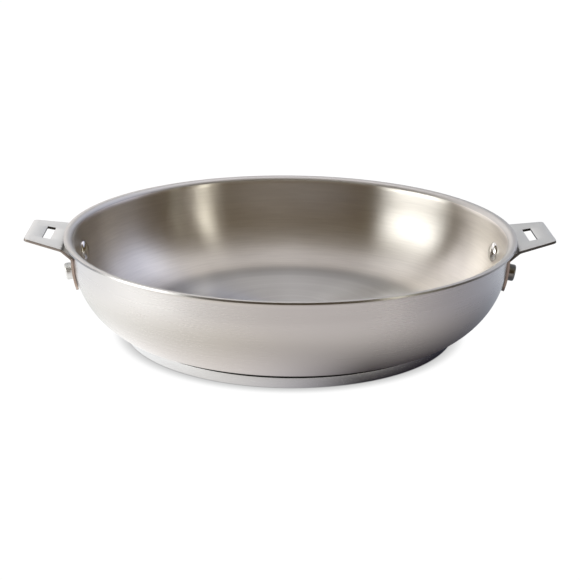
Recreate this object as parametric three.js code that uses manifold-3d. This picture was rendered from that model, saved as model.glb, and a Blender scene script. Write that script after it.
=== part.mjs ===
// Stainless steel frying pan with two slotted lugs for a clip-on handle.
// Millimetres, +Z up. The origin is the centre of the foot, on the table, and the lugs lie along X.

import * as THREE from 'three';
import { mergeVertices } from 'three/addons/utils/BufferGeometryUtils.js';
import Module from 'manifold-3d';

const wasm = await Module();
wasm.setup();

const radians = THREE.MathUtils.degToRad;

// Bowl: a drawn sheet with a rounded floor corner, a curved side, an upright wall and a flared lip
const PAN_HEIGHT = 59.1;
const WALL_RADIUS = 125;
const BODY_SHEET = 1;
const FLOOR_CORNER_RADIUS = 21;
const FLOOR_CORNER_TURN = radians(37);
const STRAIGHT_WALL = 8.5;
const LIP_OVERHANG = 5;
const LIP_RADIUS = 2;
const LIP_TURN = radians(78);

// Base: a pressed steel cap holding an aluminium disc against the bowl's floor
const BASE_RADIUS = 96.9;
const BASE_HEIGHT = 7.4;
const CAP_SHEET = 0.8;
const CAP_FOOT_RADIUS = 1.8;
const CAP_SHOULDER_RADIUS = 1.4;
const CAP_CURL = 1.6;
const SEAM_HEIGHT = 0.8;

// Lug: a flat slotted tongue, a neck that dips under the lip and a leg pressed to the wall's curve
const LUG_SHEET = 1.45;
const TONGUE_REACH = 20.7;
const TONGUE_ROOT_REACH = -1.6;
const TONGUE_TIP_DROP = 0.4;
const TONGUE_SLOPE = radians(10.9);
const TONGUE_TIP_WIDTH = 40;
const LUG_WIDTH = 54.8;
const TONGUE_CORNER_RADIUS = 2.2;
const NECK_DROP = 5.3;
const BEND_RADIUS = 3;
const LEG_LENGTH = 19;
const LEG_CURVE_RADIUS = 58;
const FOOT_CORNER_RADIUS = 4;

// Slot that the handle's latch drops into
const SLOT_WIDTH = 4.8;
const SLOT_LENGTH = 23;
const SLOT_FROM_TIP = 11.4;
const SLOT_CORNER_RADIUS = 0.5;

// Rivets: two to a lug, square to the wall
const RIVET_EDGE_INSET = 8.9;
const RIVET_ABOVE_FOOT = 9.8;
const RIVET_SHANK_DIAMETER = 6;
const INNER_HEAD_DIAMETER = 12.2;
const INNER_HEAD_HEIGHT = 2.6;
const OUTER_HEAD_DIAMETER = 9.6;
const OUTER_HEAD_HEIGHT = 3.7;
const OUTER_HEAD_FACE_DIAMETER = 8.4;
const OUTER_HEAD_EDGE_RADIUS = 0.6;

// Clearance kept between a piece and the neighbour it is seated against
const SEAT_CLEARANCE = 0.3;

// Facets
const ROUND_STEPS = 72;
const RIVET_STEPS = 16;
const LUG_CROSS_STEPS = 8;

// Values that follow from the driving sizes
const RIM_RADIUS = WALL_RADIUS + LIP_OVERHANG;
const LIP_RISE = LIP_RADIUS * Math.sin(LIP_TURN);
const LIP_REACH = LIP_RADIUS * (1 - Math.cos(LIP_TURN));
const LIP_END_ANGLE = Math.PI / 2 - LIP_TURN;
const LIP_STRAIGHT = (LIP_OVERHANG - BODY_SHEET / 2 - LIP_REACH) / Math.cos(LIP_END_ANGLE);
const LIP_START_Z =
  PAN_HEIGHT - BODY_SHEET - LIP_RISE - LIP_STRAIGHT * Math.sin(LIP_END_ANGLE);
const SIDE_TOP_Z = LIP_START_Z - STRAIGHT_WALL;
const CORNER_RISE = FLOOR_CORNER_RADIUS * (1 - Math.cos(FLOOR_CORNER_TURN));
const SIDE_RADIUS = (SIDE_TOP_Z - BASE_HEIGHT - CORNER_RISE) / Math.cos(FLOOR_CORNER_TURN);
const SIDE_CENTRE_R = WALL_RADIUS - SIDE_RADIUS;
const CORNER_CENTRE_R =
  SIDE_CENTRE_R + (SIDE_RADIUS - FLOOR_CORNER_RADIUS) * Math.sin(FLOOR_CORNER_TURN);
const CORNER_CENTRE_Z = BASE_HEIGHT + FLOOR_CORNER_RADIUS;

const TIP_X = RIM_RADIUS + TONGUE_REACH;
const TIP_Z = PAN_HEIGHT - TONGUE_TIP_DROP;
const ROOT_X = RIM_RADIUS + TONGUE_ROOT_REACH;
const ROOT_Z = TIP_Z - (TIP_X - ROOT_X) * Math.tan(TONGUE_SLOPE);
const LEG_TOP_Z = ROOT_Z - NECK_DROP;
const LEG_FOOT_Z = LEG_TOP_Z - LEG_LENGTH;
const RIVET_Z = LEG_FOOT_Z + RIVET_ABOVE_FOOT;
const RIVET_SPACING = LUG_WIDTH - 2 * RIVET_EDGE_INSET;

// A point at an angle on a circle, with the angle counted from straight down towards the rim
function onArc(centreR, centreZ, radius, angle) {
  return new THREE.Vector2(centreR + radius * Math.sin(angle), centreZ - radius * Math.cos(angle));
}

// Points along an arc, both ends included
function arcPoints(centreR, centreZ, radius, from, to, steps) {
  const points = [];
  for (let i = 0; i <= steps; i += 1) {
    points.push(onArc(centreR, centreZ, radius, from + ((to - from) * i) / steps));
  }
  return points;
}

// Outline of the bowl from the axis to the lip's end, moved outwards by an offset
function bowlLine(offset) {
  const quarter = Math.PI / 2;
  const corner = arcPoints(
    CORNER_CENTRE_R, CORNER_CENTRE_Z, FLOOR_CORNER_RADIUS + offset, 0, FLOOR_CORNER_TURN, 4,
  );
  const side = arcPoints(
    SIDE_CENTRE_R, SIDE_TOP_Z, SIDE_RADIUS + offset, FLOOR_CORNER_TURN, quarter, 7,
  );
  const lip = arcPoints(
    WALL_RADIUS + LIP_RADIUS, LIP_START_Z, LIP_RADIUS - offset, -quarter, -quarter - LIP_TURN, 5,
  );
  const lipEnd = lip.at(-1).clone();
  lipEnd.x += LIP_STRAIGHT * Math.cos(LIP_END_ANGLE);
  lipEnd.y += LIP_STRAIGHT * Math.sin(LIP_END_ANGLE);
  const axis = new THREE.Vector2(0, BASE_HEIGHT - offset);
  return [axis, ...corner, ...side.slice(1), ...lip, lipEnd];
}

// Radius of the bowl's outside at a height, moved outwards by an offset
function wallRadius(z, offset) {
  if (z >= SIDE_TOP_Z) {
    return WALL_RADIUS + offset;
  }
  const joinZ = SIDE_TOP_Z - (SIDE_RADIUS + offset) * Math.cos(FLOOR_CORNER_TURN);
  if (z >= joinZ) {
    return SIDE_CENTRE_R + Math.sqrt((SIDE_RADIUS + offset) ** 2 - (SIDE_TOP_Z - z) ** 2);
  }
  const depth = Math.min(CORNER_CENTRE_Z - z, FLOOR_CORNER_RADIUS + offset);
  return CORNER_CENTRE_R + Math.sqrt((FLOOR_CORNER_RADIUS + offset) ** 2 - depth ** 2);
}

// How far the wall leans in at a height: the angle of its outward normal below the horizontal
function wallLean(z) {
  return z >= SIDE_TOP_Z ? 0 : Math.asin(Math.min(1, (SIDE_TOP_Z - z) / SIDE_RADIUS));
}

// Radius of the leg at a height, at mid width, moved outwards from the wall by an offset. The leg follows
// the upright wall, then curves in a little less than the side, so that its foot stands slightly off.
function legRadius(z, offset) {
  const drop = Math.max(0, SIDE_TOP_Z - z);
  return WALL_RADIUS - LEG_CURVE_RADIUS + Math.sqrt((LEG_CURVE_RADIUS + offset) ** 2 - drop ** 2);
}

// How far the leg leans in at a height
function legLean(z) {
  return Math.asin(Math.max(0, SIDE_TOP_Z - z) / LEG_CURVE_RADIUS);
}

// Solid from a closed geometry: shared vertices merged and slivers at the axis dropped
function solidOf(geometry) {
  const bare = geometry.index ? geometry.clone() : mergeVertices(geometry);
  bare.deleteAttribute('normal');
  bare.deleteAttribute('uv');
  const merged = mergeVertices(bare, 1e-4);
  const index = merged.index.array;
  const kept = [];
  for (let i = 0; i < index.length; i += 3) {
    const [a, b, c] = [index[i], index[i + 1], index[i + 2]];
    if (a !== b && b !== c && c !== a) {
      kept.push(a, b, c);
    }
  }
  return new wasm.Manifold(new wasm.Mesh({
    numProp: 3,
    vertProperties: Float32Array.from(merged.getAttribute('position').array),
    triVerts: Uint32Array.from(kept),
  }));
}

// Geometry of a finished solid
function geometryOf(solid) {
  const mesh = solid.getMesh();
  const geometry = new THREE.BufferGeometry();
  geometry.setAttribute('position', new THREE.BufferAttribute(mesh.vertProperties, 3));
  geometry.setIndex(new THREE.BufferAttribute(mesh.triVerts, 1));
  geometry.computeVertexNormals();
  return geometry;
}

// Solid of revolution about Z from an outline of radius and height that runs up the outside
function turned(outline, steps) {
  return solidOf(new THREE.LatheGeometry(outline, steps).rotateX(Math.PI / 2));
}

// Moves a solid that was made about Z so that its axis runs outwards, square to the wall at a rivet
function rivetPlace(geometry, side) {
  const lean = wallLean(RIVET_Z);
  const turn = Math.asin((side * RIVET_SPACING) / 2 / wallRadius(RIVET_Z, 0));
  geometry.rotateY(Math.PI / 2 + lean);
  geometry.translate(wallRadius(RIVET_Z, 0), 0, RIVET_Z);
  return geometry.rotateZ(turn);
}

// Bowl
function bowlSolid(holes) {
  const outside = bowlLine(0);
  const inside = bowlLine(-BODY_SHEET).reverse();
  const edgeCentre = outside.at(-1).clone().add(inside[0]).multiplyScalar(0.5);
  const edge = [-0.5, 0, 0.5].map((share) => onArc(
    edgeCentre.x, edgeCentre.y, BODY_SHEET / 2, Math.PI / 2 + LIP_END_ANGLE + share * Math.PI / 2,
  ));
  let solid = turned([...outside, ...edge, ...inside], ROUND_STEPS);
  for (const hole of holes) {
    solid = solid.subtract(hole);
  }
  return solid;
}

// Base cap: floor, rounded foot, upright ring and a shoulder curled in, a seam's height under the bowl
function capSolid() {
  const top = BASE_HEIGHT - SEAM_HEIGHT;
  const shoulderR = BASE_RADIUS - CAP_SHOULDER_RADIUS;
  const foot = arcPoints(
    BASE_RADIUS - CAP_FOOT_RADIUS, CAP_FOOT_RADIUS, CAP_FOOT_RADIUS, 0, Math.PI / 2, 4,
  );
  const shoulder = arcPoints(
    shoulderR, top - CAP_SHOULDER_RADIUS, CAP_SHOULDER_RADIUS, Math.PI / 2, Math.PI, 3,
  );
  const innerShoulder = arcPoints(
    shoulderR, top - CAP_SHOULDER_RADIUS, CAP_SHOULDER_RADIUS - CAP_SHEET, Math.PI, Math.PI / 2, 1,
  );
  const innerFoot = arcPoints(
    BASE_RADIUS - CAP_FOOT_RADIUS, CAP_FOOT_RADIUS, CAP_FOOT_RADIUS - CAP_SHEET, Math.PI / 2, 0, 1,
  );
  const outline = [
    new THREE.Vector2(0, 0),
    ...foot,
    ...shoulder,
    new THREE.Vector2(shoulderR - CAP_CURL, top),
    new THREE.Vector2(shoulderR - CAP_CURL, top - CAP_SHEET),
    ...innerShoulder,
    ...innerFoot,
    new THREE.Vector2(0, CAP_SHEET),
  ];
  return turned(outline, ROUND_STEPS);
}

// Aluminium disc: fills the cap up to the bowl's floor, with a step under the cap's curled shoulder
function discSolid() {
  const radius = BASE_RADIUS - CAP_FOOT_RADIUS - SEAT_CLEARANCE;
  const neckRadius = BASE_RADIUS - CAP_SHOULDER_RADIUS - CAP_CURL - SEAT_CLEARANCE;
  const stepZ = BASE_HEIGHT - SEAM_HEIGHT - CAP_SHEET - SEAT_CLEARANCE;
  const outline = [
    new THREE.Vector2(0, CAP_SHEET),
    new THREE.Vector2(radius, CAP_SHEET),
    new THREE.Vector2(radius, stepZ),
    new THREE.Vector2(neckRadius, stepZ),
    new THREE.Vector2(neckRadius, BASE_HEIGHT),
    new THREE.Vector2(0, BASE_HEIGHT),
  ];
  return turned(outline, ROUND_STEPS);
}

// Section of the lug at mid width, from the tip of the tongue to the foot of the leg. Each station has
// its place on the upper side, the direction across the sheet to the lower side, and how far the sheet
// has taken the wall's curve: 0 on the flat tongue, 1 on the leg.
function lugStations() {
  const gap = SEAT_CLEARANCE;
  const legTop = new THREE.Vector2(legRadius(LEG_TOP_Z, gap), LEG_TOP_Z);
  const root = new THREE.Vector2(ROOT_X, ROOT_Z);
  const neckAngle = Math.atan2(root.y - legTop.y, root.x - legTop.x);
  const stations = [];
  const addStation = (x, z, across, hug) => {
    stations.push({ x, z, acrossX: Math.cos(across), acrossZ: Math.sin(across), hug });
  };
  // A bend between two straight runs, given by the runs' angles above the horizontal
  const addBend = (corner, from, to, hugFrom, hugTo, steps) => {
    const tangent = BEND_RADIUS * Math.tan((to - from) / 2);
    const startX = corner.x + tangent * Math.cos(from);
    const startZ = corner.y + tangent * Math.sin(from);
    const centreX = startX + BEND_RADIUS * Math.sin(from);
    const centreZ = startZ - BEND_RADIUS * Math.cos(from);
    for (let i = 0; i <= steps; i += 1) {
      const share = i / steps;
      const angle = from + (to - from) * share;
      addStation(
        centreX - BEND_RADIUS * Math.sin(angle),
        centreZ + BEND_RADIUS * Math.cos(angle),
        angle - Math.PI / 2,
        hugFrom + (hugTo - hugFrom) * share,
      );
    }
  };
  const tipSteps = 3;
  for (let i = 0; i <= tipSteps; i += 1) {
    const back = TONGUE_CORNER_RADIUS * (1 - Math.cos((Math.PI / 2) * (i / tipSteps)));
    addStation(TIP_X - back, TIP_Z - back * Math.tan(TONGUE_SLOPE), TONGUE_SLOPE - Math.PI / 2, 0);
  }
  addBend(root, TONGUE_SLOPE, neckAngle, 0, 0.2, 4);
  addBend(legTop, neckAngle, Math.PI / 2 - legLean(LEG_TOP_Z), 0.8, 1, 4);
  const bendEnd = stations.at(-1).z;
  const footStart = LEG_FOOT_Z + FOOT_CORNER_RADIUS;
  const legSteps = 4;
  for (let i = 1; i <= legSteps; i += 1) {
    const z = bendEnd + ((footStart - bendEnd) * i) / legSteps;
    addStation(legRadius(z, gap), z, -legLean(z), 1);
  }
  const footSteps = 3;
  for (let i = 1; i <= footSteps; i += 1) {
    const z = footStart - FOOT_CORNER_RADIUS * Math.sin((Math.PI / 2) * (i / footSteps));
    addStation(legRadius(z, gap), z, -legLean(z), 1);
  }
  return stations;
}

// Half the lug's width at a station: tapered on the tongue, rounded at the tip and the foot
function lugHalfWidth(x, z) {
  const rootShare = Math.max(0, (x - ROOT_X) / (TIP_X - ROOT_X));
  const half = (LUG_WIDTH + (TONGUE_TIP_WIDTH - LUG_WIDTH) * rootShare) / 2;
  const rounded = (radius, distance) => {
    const short = Math.max(0, radius - distance);
    return radius - Math.sqrt(Math.max(0, radius ** 2 - short ** 2));
  };
  return half - rounded(TONGUE_CORNER_RADIUS, TIP_X - x) - rounded(FOOT_CORNER_RADIUS, z - LEG_FOOT_Z);
}

// Lug on +X: a sheet lofted through the stations, with its slot and rivet holes cut
function lugSolid(holes) {
  const stations = lugStations();
  const columns = LUG_CROSS_STEPS + 1;
  const positions = [];
  for (const depth of [0, LUG_SHEET]) {
    for (const station of stations) {
      const half = lugHalfWidth(station.x, station.z);
      const x = station.x + depth * station.acrossX;
      const z = station.z + depth * station.acrossZ;
      for (let j = 0; j < columns; j += 1) {
        const y = half * ((2 * j) / LUG_CROSS_STEPS - 1);
        const sag = x - Math.sqrt(x ** 2 - y ** 2);
        positions.push(x - station.hug * sag, y, z);
      }
    }
  }
  const rows = stations.length;
  const at = (side, i, j) => (side * rows + i) * columns + j;
  const index = [];
  const addQuad = (a, b, c, d) => {
    index.push(a, b, c, a, c, d);
  };
  for (let i = 0; i + 1 < rows; i += 1) {
    for (let j = 0; j < LUG_CROSS_STEPS; j += 1) {
      addQuad(at(0, i, j), at(0, i, j + 1), at(0, i + 1, j + 1), at(0, i + 1, j));
      addQuad(at(1, i, j), at(1, i + 1, j), at(1, i + 1, j + 1), at(1, i, j + 1));
    }
    addQuad(at(0, i, 0), at(0, i + 1, 0), at(1, i + 1, 0), at(1, i, 0));
    const last = LUG_CROSS_STEPS;
    addQuad(at(0, i, last), at(1, i, last), at(1, i + 1, last), at(0, i + 1, last));
  }
  for (let j = 0; j < LUG_CROSS_STEPS; j += 1) {
    addQuad(at(0, 0, j), at(1, 0, j), at(1, 0, j + 1), at(0, 0, j + 1));
    const end = rows - 1;
    addQuad(at(0, end, j), at(0, end, j + 1), at(1, end, j + 1), at(1, end, j));
  }
  const sheet = new THREE.BufferGeometry();
  sheet.setAttribute('position', new THREE.Float32BufferAttribute(positions, 3));
  sheet.setIndex(index);
  let solid = solidOf(sheet).subtract(slotSolid());
  for (const hole of holes) {
    solid = solid.subtract(hole);
  }
  return solid;
}

// Slot punched square through the tongue
function slotSolid() {
  const [halfW, halfL, corner] = [SLOT_WIDTH / 2, SLOT_LENGTH / 2, SLOT_CORNER_RADIUS];
  const outline = new THREE.Shape();
  outline.moveTo(halfW - corner, -halfL);
  outline.absarc(halfW - corner, halfL - corner, corner, 0, Math.PI / 2);
  outline.absarc(-halfW + corner, halfL - corner, corner, Math.PI / 2, Math.PI);
  outline.absarc(-halfW + corner, -halfL + corner, corner, Math.PI, 1.5 * Math.PI);
  outline.absarc(halfW - corner, -halfL + corner, corner, 1.5 * Math.PI, 2 * Math.PI);
  const depth = 4 * LUG_SHEET;
  const punch = new THREE.ExtrudeGeometry(outline, { depth, bevelEnabled: false, curveSegments: 2 });
  punch.translate(0, 0, -depth / 2);
  punch.rotateY(-TONGUE_SLOPE);
  punch.translate(TIP_X - SLOT_FROM_TIP, 0, TIP_Z - SLOT_FROM_TIP * Math.tan(TONGUE_SLOPE));
  return solidOf(punch);
}

// Hole for a rivet's shank through the wall and the lug
function rivetHole(side) {
  const radius = RIVET_SHANK_DIAMETER / 2 + SEAT_CLEARANCE;
  const length = 6 * (BODY_SHEET + LUG_SHEET);
  const drill = new THREE.CylinderGeometry(radius, radius, length, RIVET_STEPS).rotateX(Math.PI / 2);
  return solidOf(rivetPlace(drill, side));
}

// Everything inside a turned surface, given by its radius at a height, over the height of the rivet heads
function insideOf(radiusAt) {
  const reach = INNER_HEAD_DIAMETER + OUTER_HEAD_DIAMETER;
  const steps = 8;
  const outline = [new THREE.Vector2(0, RIVET_Z - reach / 2)];
  for (let i = 0; i <= steps; i += 1) {
    const z = RIVET_Z + reach * (i / steps - 0.5);
    outline.push(new THREE.Vector2(radiusAt(z), z));
  }
  outline.push(new THREE.Vector2(0, RIVET_Z + reach / 2));
  return turned(outline, ROUND_STEPS);
}

// Rivet: a domed head inside, a shank through both sheets and a flat-topped head outside. Both heads
// are pressed to the curve they sit on.
function rivetSolid(side) {
  const innerSeat = -BODY_SHEET - SEAT_CLEARANCE;
  const outerSeat = LUG_SHEET + 2 * SEAT_CLEARANCE;
  const settle = BODY_SHEET + LUG_SHEET;
  const innerR = INNER_HEAD_DIAMETER / 2;
  const outerR = OUTER_HEAD_DIAMETER / 2;
  const faceR = OUTER_HEAD_FACE_DIAMETER / 2;
  const shankR = RIVET_SHANK_DIAMETER / 2;
  const domeSteps = 4;
  const dome = [];
  for (let i = 0; i <= domeSteps; i += 1) {
    const angle = (Math.PI / 2) * (1 - i / domeSteps);
    const height = innerSeat - INNER_HEAD_HEIGHT * Math.sin(angle);
    dome.push(new THREE.Vector2(innerR * Math.cos(angle), height));
  }
  const innerHead = turned([
    ...dome,
    new THREE.Vector2(innerR, innerSeat + settle),
    new THREE.Vector2(0, innerSeat + settle),
  ], RIVET_STEPS);
  const faceZ = outerSeat + OUTER_HEAD_HEIGHT;
  const edge = OUTER_HEAD_EDGE_RADIUS;
  const outerHead = turned([
    new THREE.Vector2(0, outerSeat - settle),
    new THREE.Vector2(outerR, outerSeat - settle),
    new THREE.Vector2(outerR, outerSeat),
    new THREE.Vector2(faceR + edge * Math.SQRT1_2, faceZ - edge),
    new THREE.Vector2(faceR + (edge * Math.SQRT1_2) / 2, faceZ - edge / 3),
    new THREE.Vector2(faceR, faceZ),
    new THREE.Vector2(0, faceZ),
  ], RIVET_STEPS);
  const shank = turned([
    new THREE.Vector2(0, innerSeat - INNER_HEAD_HEIGHT / 2),
    new THREE.Vector2(shankR, innerSeat - INNER_HEAD_HEIGHT / 2),
    new THREE.Vector2(shankR, outerSeat + OUTER_HEAD_HEIGHT / 2),
    new THREE.Vector2(0, outerSeat + OUTER_HEAD_HEIGHT / 2),
  ], RIVET_STEPS);
  const placed = (solid) => solidOf(rivetPlace(geometryOf(solid), side));
  return placed(innerHead)
    .intersect(insideOf((z) => wallRadius(z, innerSeat)))
    .add(placed(outerHead).subtract(insideOf((z) => legRadius(z, outerSeat))))
    .add(placed(shank));
}

// Finishes
const bowlSteel = { color: 0xb8b4af, roughness: 0.34, metalness: 1 };
const polishedSteel = { color: 0xc6c4c2, roughness: 0.16, metalness: 1 };
const satinSteel = { color: 0xc2c1c0, roughness: 0.42, metalness: 1 };
const aluminium = { color: 0xd0d2d4, roughness: 0.5, metalness: 1 };

// One named piece
function piece(name, solid, finish) {
  const mesh = new THREE.Mesh(geometryOf(solid), new THREE.MeshStandardMaterial(finish));
  mesh.name = name;
  return mesh;
}

// A lug with its two rivets, made on +X, as a group turned to its side of the pan
function lugGroup(sideName, turn) {
  const holes = [-1, 1].map(rivetHole);
  const group = new THREE.Group();
  group.add(piece(`lug_${sideName}`, lugSolid(holes), satinSteel));
  for (const side of [-1, 1]) {
    const facesFront = side * Math.cos(turn) < 0;
    const name = `rivet_${sideName}_${facesFront ? 'front' : 'back'}`;
    group.add(piece(name, rivetSolid(side), polishedSteel));
  }
  group.rotation.z = turn;
  return group;
}

// Rivet holes in the bowl, under both lugs
function bowlHoles() {
  const right = [-1, 1].map(rivetHole);
  const left = right.map((hole) => solidOf(geometryOf(hole).rotateZ(Math.PI)));
  return [...right, ...left];
}

const pan = new THREE.Group();
pan.name = 'frying_pan';
pan.add(piece('pan_body', bowlSolid(bowlHoles()), bowlSteel));
pan.add(piece('base_cap', capSolid(), polishedSteel));
pan.add(piece('diffuser_disc', discSolid(), aluminium));
pan.add(lugGroup('right', 0));
pan.add(lugGroup('left', Math.PI));

export default pan;
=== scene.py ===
"""Stainless steel frying pan with two slotted lugs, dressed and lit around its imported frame.

The pan stands on the floor at the origin, +Z up, with its lugs along X. Sizes in the classes below are in
millimetres and are turned into metres where a mesh is made.
"""

import logging
import math
from collections.abc import Callable, Sequence
from dataclasses import dataclass, replace
from enum import Enum
from typing import ClassVar

import bpy
from mathutils import Matrix, Vector


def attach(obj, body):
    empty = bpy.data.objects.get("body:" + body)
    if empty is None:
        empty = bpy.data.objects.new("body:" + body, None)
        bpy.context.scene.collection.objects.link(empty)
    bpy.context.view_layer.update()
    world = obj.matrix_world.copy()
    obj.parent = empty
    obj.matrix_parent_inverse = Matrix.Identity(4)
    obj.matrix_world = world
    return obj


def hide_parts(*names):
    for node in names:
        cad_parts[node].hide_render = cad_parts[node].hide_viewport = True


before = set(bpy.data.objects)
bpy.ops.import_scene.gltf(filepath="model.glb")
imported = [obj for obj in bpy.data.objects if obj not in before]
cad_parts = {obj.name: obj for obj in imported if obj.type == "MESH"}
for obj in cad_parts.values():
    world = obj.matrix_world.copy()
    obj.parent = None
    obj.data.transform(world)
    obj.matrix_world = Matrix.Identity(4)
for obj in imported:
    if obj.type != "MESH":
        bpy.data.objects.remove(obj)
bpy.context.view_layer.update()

log = logging.getLogger("frying_pan")

MM = 0.001
MICRON = 1e-6
BODY = "root"
QUARTER_TURN = math.pi / 2
FULL_TURN = 2 * math.pi
MERGE_WITHIN = 0.002 * MM
BARELY = 0.01
FACING = 0.5
STEEP = 0.6
NEARLY_LEVEL = 0.9
FLAT = 0.99
NOISE_DETAIL = 3.0
NOISE_ROUGHNESS = 0.6
NOISE_MIDDLE = 0.5

Point = tuple[float, float]
Colour = tuple[float, float, float]
FaceTest = Callable[[Vector, Vector], bool]


class Shader:
    """The nodes of one material or world, added by plain calls."""

    def __init__(self, owner: bpy.types.Material | bpy.types.World) -> None:
        """Starts on an empty tree.

        Args:
            owner: The material or world whose nodes are made.
        """
        owner.use_nodes = True
        self.tree = owner.node_tree
        self.tree.nodes.clear()

    def node(self, kind: str, settings: dict | None = None, sockets: dict | None = None) -> bpy.types.Node:
        """Adds one node.

        Args:
            kind: The node's type, such as ShaderNodeTexNoise.
            settings: Attributes of the node, set before its sockets.
            sockets: Values or links of its inputs, by name or number.

        Returns:
            The new node.
        """
        made = self.tree.nodes.new(kind)
        for name, value in (settings or {}).items():
            setattr(made, name, value)
        for name, value in (sockets or {}).items():
            self.feed(made.inputs[name], value)
        return made

    def feed(self, socket: bpy.types.NodeSocket, value: object) -> None:
        """Links or sets one input.

        Args:
            socket: The input.
            value: A Value, an output socket, or a plain number, colour or vector.
        """
        if isinstance(value, Value):
            self.tree.links.new(value.socket, socket)
        elif isinstance(value, bpy.types.NodeSocket):
            self.tree.links.new(value, socket)
        else:
            socket.default_value = value

    def value(self, node: bpy.types.Node, output: str | int = 0) -> "Value":
        """Wraps one of a node's outputs for arithmetic."""
        return Value(self, node.outputs[output])

    def mix(self, share: object, first: object, second: object) -> bpy.types.NodeSocket:
        """Blends two colours.

        Args:
            share: How much of the second colour, from 0 to 1.
            first: The colour at 0.
            second: The colour at 1.

        Returns:
            The blended colour's socket.
        """
        sockets = {0: share, 6: first, 7: second}
        made = self.node("ShaderNodeMix", {"data_type": "RGBA"}, sockets)
        return made.outputs[2]

    def scaled(self, colour: object, share: object) -> bpy.types.NodeSocket:
        """Makes a colour brighter or darker.

        Args:
            colour: The colour.
            share: What it is multiplied by.

        Returns:
            The product's socket.
        """
        made = self.node("ShaderNodeVectorMath", {"operation": "SCALE"}, {0: colour, "Scale": share})
        return made.outputs[0]

    def added(self, first: object, second: object, share: object) -> bpy.types.NodeSocket:
        """Adds a share of one colour to another.

        Args:
            first: The colour to add to.
            second: The colour that is added.
            share: How much of it.

        Returns:
            The sum's socket.
        """
        sockets = {0: first, 1: self.scaled(second, share)}
        return self.node("ShaderNodeVectorMath", {"operation": "ADD"}, sockets).outputs[0]

    def axes(self, coordinates: str) -> tuple["Value", "Value", "Value", "Value"]:
        """Splits a place or a direction.

        Args:
            coordinates: Which output of Texture Coordinate.

        Returns:
            Its X, Y and Z, and the length of X and Y together.
        """
        place = self.node("ShaderNodeTexCoord").outputs[coordinates]
        split = self.node("ShaderNodeSeparateXYZ", sockets={0: place})
        x, y, z = (self.value(split, i) for i in range(3))
        return x, y, z, (x * x + y * y) ** 0.5

    def step(self, value: object, low: float, high: float) -> "Value":
        """Rises smoothly from 0 at low to 1 at high.

        Args:
            value: What is measured.
            low: Where the rise starts.
            high: Where it ends.

        Returns:
            The smooth step.
        """
        settings = {"interpolation_type": "SMOOTHSTEP"}
        sockets = {"Value": value, "From Min": low, "From Max": high}
        return self.value(self.node("ShaderNodeMapRange", settings, sockets))


class Value:
    """A shader value in an expression: each operation adds a Math node."""

    def __init__(self, shader: Shader, socket: bpy.types.NodeSocket) -> None:
        """Wraps a socket.

        Args:
            shader: The shader whose tree holds the socket.
            socket: The output that carries the value.
        """
        self.shader = shader
        self.socket = socket

    def _math(self, operation: str, *operands: object) -> "Value":
        """Adds a Math node of an operation on these operands."""
        sockets = dict(enumerate(operands))
        return self.shader.value(self.shader.node("ShaderNodeMath", {"operation": operation}, sockets))

    def __add__(self, other: object) -> "Value":
        """Sum."""
        return self._math("ADD", self, other)

    __radd__ = __add__

    def __sub__(self, other: object) -> "Value":
        """Difference."""
        return self._math("SUBTRACT", self, other)

    def __rsub__(self, other: object) -> "Value":
        """Difference from a plain number."""
        return self._math("SUBTRACT", other, self)

    def __mul__(self, other: object) -> "Value":
        """Product."""
        return self._math("MULTIPLY", self, other)

    __rmul__ = __mul__

    def __truediv__(self, other: object) -> "Value":
        """Quotient."""
        return self._math("DIVIDE", self, other)

    def __pow__(self, other: object) -> "Value":
        """Power."""
        return self._math("POWER", self, other)


class Grain(Enum):
    """How a surface was worked, which sets the way its fine lines run."""

    ROUND = "rings about the pan's axis"
    ALONG = "straight lines along X"


@dataclass
class Layer:
    """A finish's look at a place.

    Attributes:
        colour: Base colour.
        roughness: Roughness.
        height: Height of the lines, in metres.
    """

    colour: bpy.types.NodeSocket
    roughness: Value
    height: Value


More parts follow.
